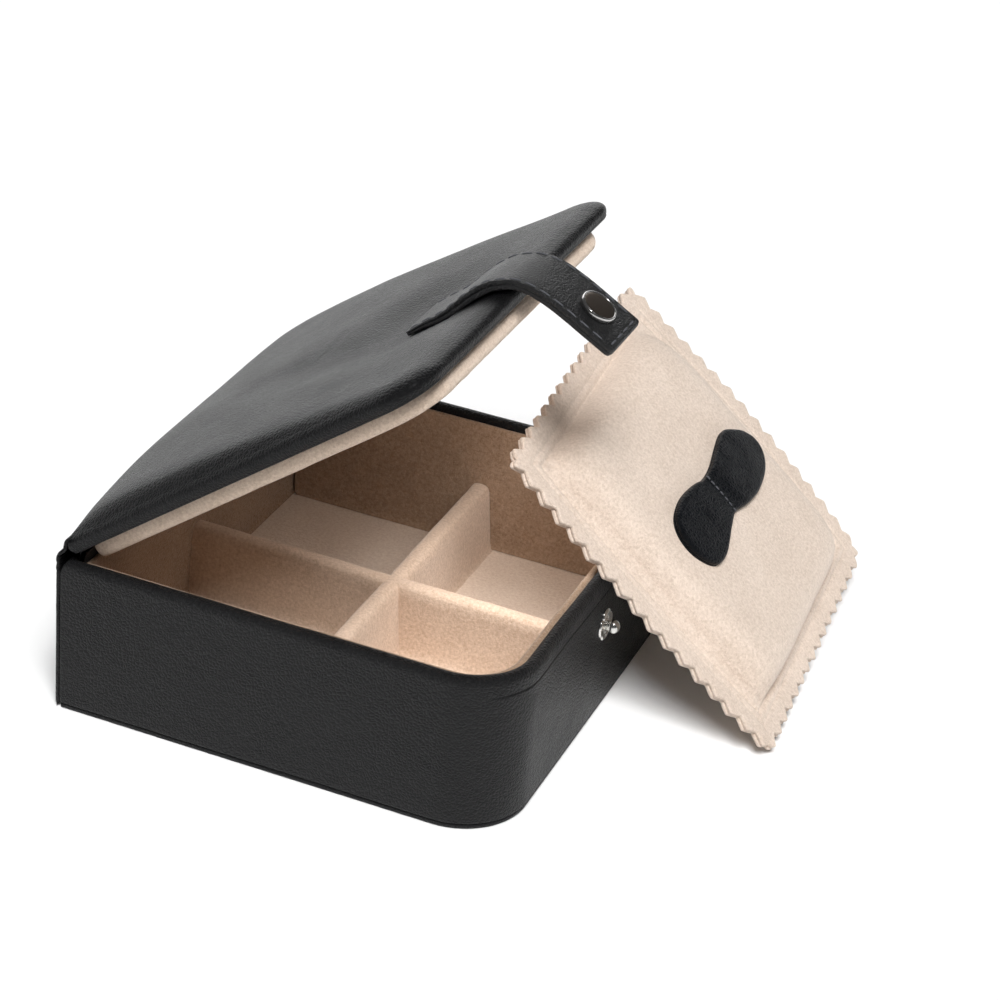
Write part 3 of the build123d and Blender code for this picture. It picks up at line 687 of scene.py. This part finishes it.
xs, ys_, rise = swell(LID_D0 + SEAM_IN, LID_D1 - SEAM_IN, -(LID_Y - SEAM_IN), LID_Y - SEAM_IN, 2.0, lid_held, lid_base, 5.0, 0.015)
lid_rise = sampler(xs, ys_, rise)


FULL_D = np.arange(-12.0, 125.0, 0.5)
FULL_H = np.convolve(np.pad(np.interp(FULL_D, [0, 20, 45, 62, 78, 92, 109], [5.3, 5.5, 5.2, 4.2, 3.0, 1.5, 0.7]), 16, mode="edge"),
                     np.hanning(35)[1:-1] / np.hanning(35).sum(), mode="valid")[:len(FULL_D)]


def lid_rim(d, y):
    """How much higher the roll is at the hinge and along the far side."""
    hinge = 2.0 * smooth((24.0 - d) / 20.0) * smooth((60.3 - np.abs(y)) / np.where(y < 0, 34.0, 14.0))
    far = 1.1 * smooth((y - 34.0) / 18.0) * smooth((98.0 - d) / 30.0)
    return hinge + far * (1 - smooth((24.0 - d) / 20.0))


def lid_swell(d, y):
    """How far the padded top stands above the sewn level."""
    full = 1 - np.exp(-np.clip(lid_rise(d, y), 0, 1) / 0.19)
    sewn = 1 - np.exp(-(((d - 85.0) / 19.0) ** 2 + (y / 24.0) ** 2) ** 1.6)
    near = 1 - 0.32 * smooth((-14.0 - y) / 34.0)
    crown = np.interp(d, FULL_D, FULL_H) * near
    dip = 1.7 * np.exp(-((y + 14.0) / 12.0) ** 2) * smooth((d - 24.0) / 30.0) * smooth((92.0 - d) / 14.0)
    return lid_rim(d, y) * (1 - full) + (crown - dip) * full * sewn


insets = [0.0, 0.06, 0.2, 0.45, 0.8, 1.25, 1.8, 2.45, 3.15, 3.9, 4.75]
rings = []
for inset, h in [(7.2, 0.95), (6.8, 0.25), (5.2, 0.06), (3.0, 0.03), (1.6, 0.06), (1.05, 0.16), (0.75, 0.42), (0.72, 0.7), (0.42, 1.0), (0.16, 1.5)]:
    p, n = lid_loop(inset)
    pts = lid_points(p[:, 0], p[:, 1], h)
    rings.append(pts)
for inset in insets:
    p, n = lid_loop(inset)
    k = (EDGE_IN - inset) / EDGE_IN
    roll = (1 - k ** 2.3) ** (1 / 2.1)
    h = 2.1 + (2.95 + lid_swell(p[:, 0], p[:, 1])) * roll
    pts = lid_points(p[:, 0], p[:, 1], h)
    rough_edge = 0.22 * wobble(pts, 11.0, 2.4) + 0.10 * wobble(pts, 3.2, 7.4)
    grow = min(1.0, inset / 1.2)
    pts = lid_points(p[:, 0] + n[:, 0] * rough_edge * 0.8, p[:, 1] + n[:, 1] * rough_edge * 0.8, h + 0.12 * wobble(pts, 15.0, 8.8) * grow)
    rings.append(pts)
for inset in list(np.arange(EDGE_IN, 30.0, 1.15)) + list(np.arange(30.5, 53.0, 1.5)):
    p, n = lid_loop(inset)
    w = smooth((inset - EDGE_IN) / 3.0)
    pts = lid_points(p[:, 0], p[:, 1], 0.0)
    h = lid_base(p[:, 0], p[:, 1]) * w + 5.05 * (1 - w) + lid_swell(p[:, 0], p[:, 1])
    fold = 0.16 * wobble(pts, 24.0, 1.1) + 0.05 * wobble(pts, 7.0, 3.3)
    rings.append(lid_points(p[:, 0], p[:, 1], h + fold * w))
v, f = grid(rings, closed_cols=True, cap_first=True, cap_last=True)
lid_cover = build("lid_cushion", v, f, LID, "lid")
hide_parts("lid_leather", "lid_board", "lid_padding")

# pad under the lid
rings = []
for inset, h in [(3.0, -0.03), (1.0, -0.03), (0.35, -0.12), (0.1, -0.5), (-0.12, -1.1), (-0.22, -1.9), (-0.18, -2.7), (0.0, -3.35), (0.35, -3.95), (0.85, -4.35),
                 (1.5, -4.58), (2.4, -4.68), (4.0, -4.72), (7.0, -4.75)] + [(k, -4.75) for k in np.arange(10, 48, 3.2)]:
    p, n = rounded_loop(4.1, 105.0, -54.3, 54.3, (1.5, 12.2, 12.2, 1.5), max(inset, 0.0), 0.9)
    if inset < 0:
        p = p - n * inset
    pts = lid_points(p[:, 0], p[:, 1], h)
    if -4.6 < h < -0.1:
        push = 0.16 * wobble(pts, 9.0, 6.0) + 0.09 * wobble(pts, 2.6, 4.0)
        p = p + n * push[:, None]
        pts = lid_points(p[:, 0], p[:, 1], h + 0.08 * wobble(pts, 5.0, 9.0))
    elif h < -4.5:
        pts = lid_points(p[:, 0], p[:, 1], h + 0.18 * wobble(pts, 18.0, 5.0))
    rings.append(pts)
v, f = grid(rings, closed_cols=True, cap_first=True, cap_last=True)
lid_pad = build("lid_under_pad", v, f, UNDER_SUEDE, "lid")
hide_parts("lid_lining")

# ----------------------------------------------------------------- strap
strap_line = [(79.3, 6.0), (81.5, 6.15), (84.5, 6.4), (89.0, 6.5), (92.5, 6.95), (95.8, 7.6), (99.0, 8.2), (102.4, 8.55), (105.5, 8.4), (108.0, 7.75),
              (110.6, 6.75), (112.7, 5.3), (114.6, 3.3), (116.3, 0.9), (117.8, -1.75), (119.11, -4.40), (121.3, -9.55), (124.97, -18.20)]
line, at = resample(strap_line, 0.45)
tng = np.gradient(line, axis=0)
tng /= np.linalg.norm(tng, axis=1)[:, None]
nor = np.column_stack([-tng[:, 1], tng[:, 0]])
STRAP_HALF = 9.2


def strap_thickness(s):
    return np.interp(s, [0, 3, 9, 16, 24, 34, at[-1]], [1.3, 1.5, 2.0, 2.45, 2.75, 2.45, 2.3])


def strap_end(s):
    """How far the tip's corners are pulled in at distance s along the strap."""
    d = at[-1] - s
    pull = 0.0
    r = 1.6
    if d < r:
        pull = r - sqrt(max(0.0, r * r - (r - d) ** 2))
    if s < 0.6:
        pull = max(pull, 0.6 - sqrt(max(0.0, 0.36 - (0.6 - s) ** 2)))
    return pull


rows = []
for k, ((d, h), s) in enumerate(zip(line, at)):
    th = float(strap_thickness(s))
    lip = min(1.0, (min(s, at[-1] - s) + 0.03) / 0.5)
    th_here = th * (0.35 + 0.65 * sqrt(1 - (1 - lip) ** 2))
    drop = (th - th_here) / 2
    sec = section(STRAP_HALF - strap_end(s), th_here, min(0.42, th_here * 0.3), 0.22, 20)
    row = []
    for a, b in sec:
        p3 = (s * 1.0, a, 0.0)
        lift = 0.10 * noise.noise(Vector(p3) / 7.0 + Vector((3, 3, 3))) + 0.035 * noise.noise(Vector(p3) / 1.6)
        crown = -0.10 * (abs(a) / STRAP_HALF) ** 4
        groove = -0.16 * exp(-((abs(a) - (STRAP_HALF - 1.1)) / 0.38) ** 2) if b == 0.0 else 0.0
        tip_groove = -0.16 * exp(-(((at[-1] - s) - 1.5) / 0.38) ** 2) if (b == 0.0 and abs(a) < STRAP_HALF - 1.35) else 0.0
        out = b - drop + (lift + crown + groove + tip_groove if b > -0.3 else 0.0)
        row.append(lid_point(d + nor[k][0] * out, a, h + nor[k][1] * out))
    rows.append(row)
v, f = grid(rows, closed_cols=True, cap_first=True, cap_last=True)
strap = build("strap_strip", v, f, STRAP)
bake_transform(strap)
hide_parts("strap_anchor", "strap_flap", "strap_flap_lining")

places = []
PITCH = 3.8


def strap_at(s, a, lift=0.0):
    d, h = np.interp(s, at, line[:, 0]), np.interp(s, at, line[:, 1])
    nd, nh = np.interp(s, at, nor[:, 0]), np.interp(s, at, nor[:, 1])
    td, th = np.interp(s, at, tng[:, 0]), np.interp(s, at, tng[:, 1])
    p = lid_point(d + nd * lift, a, h + nh * lift)
    o = lid_point(0, 0, 0)
    n = np.array(lid_point(nd, 0, nh)) - np.array(o)
    t = np.array(lid_point(td, 0, th)) - np.array(o)
    return p, t, n


for side in (-1, 1):
    s = 2.6
    while s < at[-1] - 2.4:
        p, t, n = strap_at(s, side * (STRAP_HALF - 1.1), -0.10)
        places.append((p, t, n))
        s += PITCH
p, t, n = strap_at(at[-1] - 1.5, 0.0, -0.12)
for a in np.arange(-5.7, 5.8, PITCH):
    q = strap_at(at[-1] - 1.5, float(a), -0.12)[0]
    places.append((q, (0, 1, 0), n))
seam = stitches("strap_stitching", places, 2.95, 0.27, THREAD, 0.2)
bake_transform(seam)

# snap cap
snap_p, snap_t, snap_n = strap_at(float(at[-1]) - 9.4, 0.0, 0.0)
cap_profile = [(4.3, -0.35), (4.45, 0.0), (4.62, 0.35), (4.65, 0.8), (4.60, 1.15), (4.5, 1.42), (4.36, 1.58), (4.2, 1.64), (4.06, 1.58), (4.0, 1.44)]
cap_rim = lathe("snap_cap_rim", snap_p, snap_n, cap_profile, CAP_RIM, "strap", 96)
face_profile = [(4.08, 1.2), (4.08, 1.42), (3.9, 1.50), (3.4, 1.55), (2.8, 1.58), (2.2, 1.6), (1.6, 1.62), (1.0, 1.63), (0.3, 1.64)]
cap_face = lathe("snap_cap_face", snap_p, snap_n, face_profile, CAP, "strap", 96)
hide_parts("snap_cap")

# ---------------------------------------------------------------- insert
B = radians(42.35)
S = radians(4.64)
face = np.array([sin(B), 0.0, cos(B)])
up_slope = np.array([-cos(B), 0.0, sin(B)])
u_dir = up_slope * cos(S) - np.array([0.0, 1.0, 0.0]) * sin(S)
v_dir = np.cross(face, u_dir)
INS = np.array([-57.5 + 156.8, 48.3, 4.1]) + u_dir * 48.4 + face * 0.95
HX, HY = 48.4, 45.75
PIN_IN = 8.4


def ins(x, y, z):
    x, y, z = np.broadcast_arrays(np.asarray(x, float), np.asarray(y, float), np.asarray(z, float))
    return INS + x[..., None] * u_dir + y[..., None] * v_dir + z[..., None] * face


def pad_held(x, y):
    r = 7.5
    cx = np.maximum(np.abs(x) - (HX - PIN_IN - r), 0)
    cy = np.maximum(np.abs(y) - (HY - PIN_IN - r), 0)
    edge = (np.abs(x) > HX - PIN_IN - 0.4) | (np.abs(y) > HY - PIN_IN - 0.4) | (np.hypot(cx, cy) > r - 0.4)
    return edge


xs2, ys2, rise2 = swell(-(HX - PIN_IN), HX - PIN_IN, -(HY - PIN_IN), HY - PIN_IN, 1.9, pad_held, lambda x, y: np.zeros_like(x), 5.0, 0.02)
pad_rise = sampler(xs2, ys2, rise2)


def pad_top(x, y):
    r = np.clip(pad_rise(x, y), 0, 1)
    waist = np.exp(-(((x - 0.5) / 8.0) ** 2 + ((y - 1.0) / 5.0) ** 2))
    full = 1 - np.exp(-r / 0.105)
    side = 0.7 * smooth((-y - 8.0) / 26.0) + 0.6 * smooth((-x - 8.0) / 26.0)
    return (7.0 + side) * full + 1.75 * r - 0.5 * waist


def pinked(points, normals, amp, teeth, phase=0.0):
    """Pulls an outline in between evenly spaced points, as pinking shears do."""
    s, total = along(points)
    t = (s / total * teeth + phase) % 1.0
    tooth = 1 - np.abs(2 * t - 1)
    tooth = np.power(tooth, 0.85)
    return points - normals * (amp * (1 - tooth))[:, None]


def insert_loop(inset, step=0.55):
    """The insert's outline; its long sides bow outwards, the far one more."""
    p, n = rounded_loop(-HX, HX, -HY, HY, (5.5, 3.2, 2.8, 2.8), inset, step)
    bow = np.clip(1 - (p[:, 0] / HX) ** 2, 0, 1)
    y = p[:, 1] / HY
    p = p.copy()
    p[:, 1] += bow * np.where(y < 0, 4.6 * y, 2.6 * y) + np.where(y < 0, 3.6 * y, 0.0)
    return p, n


outer, outer_n = insert_loop(0.0)
TEETH = 67


def flange_ring(inset, z, amp_scale, shift=0.0, phase=0.0, wave=0.32, seed=0.0):
    p, n = insert_loop(max(inset, 0.0))
    amp = 2.3 * amp_scale
    t = (along(outer)[0] / along(outer)[1] * TEETH + phase) % 1.0
    tooth = np.power(1 - np.abs(2 * t - 1), 0.85)
    p = p - n * (amp * (1 - tooth) + shift)[:, None]
    flat = np.column_stack([p, np.zeros(len(p))])
    fade = np.clip(1 - inset / 8.0, 0, 1)
    lift = wave * wobble(flat, 16.0, seed) * fade + 0.12 * wobble(flat, 5.0, seed + 2) * fade
    return p, z + lift


rings = []
for inset, z, amp in [(7.0, -1.0, 0.0), (3.0, -1.02, 0.2), (0.9, -1.05, 0.75), (0.12, -1.0, 1.0), (0.0, -0.75, 1.0), (0.0, -0.35, 1.0), (0.1, -0.1, 1.0), (0.3, 0.02, 0.96),
                      (0.7, 0.05, 0.82), (1.2, 0.06, 0.6), (1.8, 0.05, 0.35), (2.5, 0.05, 0.12), (3.3, 0.04, 0.0), (4.2, 0.04, 0.0), (5.0, 0.02, 0.0), (5.5, -0.12, 0.0), (5.8, -0.3, 0.0),
                      (6.1, -0.12, 0.0), (6.5, 0.08, 0.0), (7.1, 0.06, 0.0), (7.6, -0.1, 0.0), (8.0, -0.42, 0.0), (8.3, -0.5, 0.0)]:
    p, z = flange_ring(inset, z, amp, seed=3.0)
    rings.append(ins(p[:, 0], p[:, 1], z))
for inset in [8.55, 8.8, 9.15, 9.6, 10.2, 10.9, 11.7, 12.6, 13.6] + list(np.arange(14.8, 44.8, 1.25)):
    p, n = insert_loop(inset)
    flat = np.column_stack([p, np.zeros(len(p))])
    h = pad_top(p[:, 0], p[:, 1]) - 0.45 * (1 - smooth((inset - 8.4) / 0.6))
    h += (0.22 * wobble(flat, 13.0, 6.1) + 0.07 * wobble(flat, 4.0, 2.1)) * smooth((inset - 9.0) / 4.0)
    rings.append(ins(p[:, 0], p[:, 1], h))
v, f = grid(rings, closed_cols=True, cap_first=True, cap_last=True)
pillow = build("insert_pillow", v, f, PAD_SUEDE, "insert")
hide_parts("insert_top", "insert_filling", "insert_board")

rings = []
for inset, z, amp in [(20.0, -1.2, 0.0), (3.0, -1.16, 0.2), (0.9, -1.14, 0.75), (0.25, -1.2, 1.0), (0.1, -1.45, 1.0), (0.1, -1.85, 1.0), (0.25, -2.1, 1.0), (0.8, -2.2, 0.8),
                      (2.0, -2.22, 0.3), (4.0, -2.22, 0.0), (12.0, -2.24, 0.0), (24.0, -2.26, 0.0), (38.0, -2.28, 0.0)]:
    p, z = flange_ring(inset, z, amp, 0.05, 0.07, seed=3.0)
    rings.append(ins(p[:, 0], p[:, 1], z))
v, f = grid(rings, closed_cols=True, cap_first=True, cap_last=True)
under = build("insert_underside", v, f, PAD_SUEDE, "insert")
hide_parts("insert_back")

# pull tab: a bow of leather, sewn down across its waist, a little off the pad's middle
tab_outline = [(7.6, -22.2), (3.8, -27.4), (-0.4, -29.4), (-4.5, -27.7), (-7.1, -22.5), (-8.0, -13.8), (-7.0, -5.8), (-5.2, 1.7), (-5.8, 7.3), (-7.3, 12.9), (-8.4, 16.9), (-8.5, 20.4), (-7.4, 23.7), (-3.6, 26.3), (0.6, 27.2), (4.8, 26.2), (7.8, 23.3), (9.1, 18.4), (9.1, 13.2), (8.1, 7.3), (6.8, 3.1), (6.5, -2.1), (7.5, -8.6), (8.5, -14.7), (8.7, -19.1)]


def closed_line(points, step):
    """A smooth closed line through points, cut into even steps."""
    p = np.array(points, float)
    k = len(p)
    fine = []
    for i in range(k):
        p0, p1, p2, p3 = p[i - 1], p[i], p[(i + 1) % k], p[(i + 2) % k]
        for t in np.linspace(0, 1, 16, endpoint=False):
            fine.append(0.5 * ((2 * p1) + (-p0 + p2) * t + (2 * p0 - 5 * p1 + 4 * p2 - p3) * t * t + (-p0 + 3 * p1 - 3 * p2 + p3) * t ** 3))
    fine = np.array(fine + [fine[0]])
    s = np.concatenate([[0], np.cumsum(np.hypot(*np.diff(fine, axis=0).T))])
    n = int(s[-1] / step)
    at = np.linspace(0, s[-1], n, endpoint=False)
    return np.column_stack([np.interp(at, s, fine[:, 0]), np.interp(at, s, fine[:, 1])])


tab_line = closed_line(tab_outline, 0.45)
axis_y = np.clip(tab_line[:, 1], -20.5, 18.5)
axis_x = np.full(len(axis_y), 0.45)
spine_pts = np.column_stack([axis_x, axis_y])
reach = np.hypot(*(tab_line - spine_pts).T)
TAB_T = 2.4


def tab_lift(x, y):
    bend = -1.1 * ((y + 1.0) / 29.0) ** 2 - 0.75 * np.exp(-((y - 1.0) / 4.0) ** 2)
    return 10.95 + bend - 0.35 * ((x - 0.5) / 9.0) ** 2


def tab_ring(inset, depth):
    t = np.minimum(inset / reach, 1.0)[:, None]
    p = tab_line + (spine_pts - tab_line) * t
    flat = np.column_stack([p, np.zeros(len(p))])
    z = tab_lift(p[:, 0], p[:, 1]) - depth
    if depth < 1.0:
        z = z + 0.14 * wobble(flat, 6.0, 5.0) + 0.05 * wobble(flat, 1.8, 2.0)
    return ins(p[:, 0], p[:, 1], z)


rings = [tab_ring(i, TAB_T) for i in (20.0, 8.0, 6.0, 4.0, 2.4, 1.2, 0.6)]
rings += [tab_ring(i, d) for i, d in ((0.22, TAB_T - 0.12), (0.04, TAB_T - 0.45), (0.0, TAB_T - 0.9), (0.10, 1.36), (0.22, 1.26), (0.10, 1.16), (0.0, 0.95), (0.06, 0.6), (0.22, 0.3),
                                      (0.5, 0.1), (0.85, 0.02), (1.3, 0.0))]
rings += [tab_ring(i, 0.0) for i in (1.9, 2.6, 3.3, 4.1, 5.0, 5.8, 6.6, 7.4, 8.2, 20.0)]
v, f = grid(np.array(rings), closed_cols=True)
tab = build("bow_tab", v, f, TAB, "insert")
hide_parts("pull_tab")

places = []
for k in range(7):
    a = -4.35 + 1.72 * k
    p = ins(a, 1.7 - 0.10 * (k - 3), float(tab_lift(a, 1.7)) + 0.03)
    places.append((tuple(p), tuple(u_dir), tuple(face)))
seam2 = stitches("tab_stitching", places, 1.35, 0.27, THREAD, 0.1, "insert")
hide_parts("tab_stitch")

# ----------------------------------------------------------- studio and camera
def studio_floor():
    m, nt, b = new_material("studio_floor")
    tex = nt.nodes.new("ShaderNodeTexCoord")
    n1 = node(nt, "ShaderNodeTexNoise", Scale=3.0, Detail=2.0)
    nt.links.new(tex.outputs["Object"], n1.inputs["Vector"])
    tone = ramp(nt, n1.outputs["Fac"], [(0.3, (0.96, 0.96, 0.96)), (0.7, (0.97, 0.97, 0.97))])
    nt.links.new(tone.outputs["Color"], b.inputs["Base Color"])
    b.inputs["Roughness"].default_value = 0.9
    b.inputs["Specular IOR Level"].default_value = 0.1
    return m


mesh = bpy.data.meshes.new("floor")
mesh.from_pydata([(-4, -4, 0), (4, -4, 0), (4, 4, 0), (-4, 4, 0)], [], [(0, 1, 2, 3)])
mesh.materials.append(studio_floor())
ground = bpy.data.objects.new("floor", mesh)
scene.collection.objects.link(ground)

world = bpy.data.worlds.new("studio")
world.use_nodes = True
world.node_tree.nodes["Background"].inputs["Color"].default_value = (1.0, 1.0, 1.0, 1.0)
world.node_tree.nodes["Background"].inputs["Strength"].default_value = 0.08
scene.world = world


def lamp(name, kind, place, target, power, **values):
    light = bpy.data.lights.new(name, kind)
    light.energy = power
    for k, v in values.items():
        setattr(light, k, v)
    o = bpy.data.objects.new(name, light)
    o.location = place
    o.rotation_euler = (Vector(target) - Vector(place)).to_track_quat("-Z", "Y").to_euler()
    scene.collection.objects.link(o)
    return o


soft = lamp("overhead", "SUN", (0.27, -0.56, 1.0), (0.0, 0.0, 0.0), 3.25, angle=radians(30))
soft.visible_glossy = False
lamp("key", "SUN", (0.30, -0.42, 1.0), (0.0, 0.0, 0.0), 0.5, angle=radians(9))
rim = lamp("behind", "SUN", (-0.55, 0.80, 0.30), (0.0, 0.0, 0.0), 1.5, angle=radians(64))
rim.visible_diffuse = False
fill = lamp("inside", "AREA", (0.026, 0.004, 0.060), (0.022, 0.024, 0.004), 0.016, size=0.02)
fill.visible_camera = False
fill.visible_glossy = False

a, e, roll = radians(19.97), radians(29.37), radians(5.33)
back = Vector((sin(a) * cos(e), -cos(a) * cos(e), sin(e)))
right = Vector((cos(a), sin(a), 0.0))
up = Vector((-sin(e) * sin(a), sin(e) * cos(a), cos(e)))
r0 = right * cos(roll) + up * sin(roll)
r1 = -right * sin(roll) + up * cos(roll)
centre = Vector((55.0, 0.0, 20.0)) + r0 * 27.29 + r1 * 18.92 + back * 668.13
K = 1.04545
centre = Vector((centre.x * K - 57.5, centre.y * K, centre.z * K)) * MM
cam = bpy.data.cameras.new("camera")
cam.lens = 102.05
cam.sensor_width = 36.0
cam.clip_end = 50.0
cam_obj = bpy.data.objects.new("camera", cam)
m = Matrix((r0, r1, back)).transposed().to_4x4()
m.translation = centre
cam_obj.matrix_world = m
scene.collection.objects.link(cam_obj)
scene.camera = cam_obj
scene.view_settings.view_transform = "Standard"
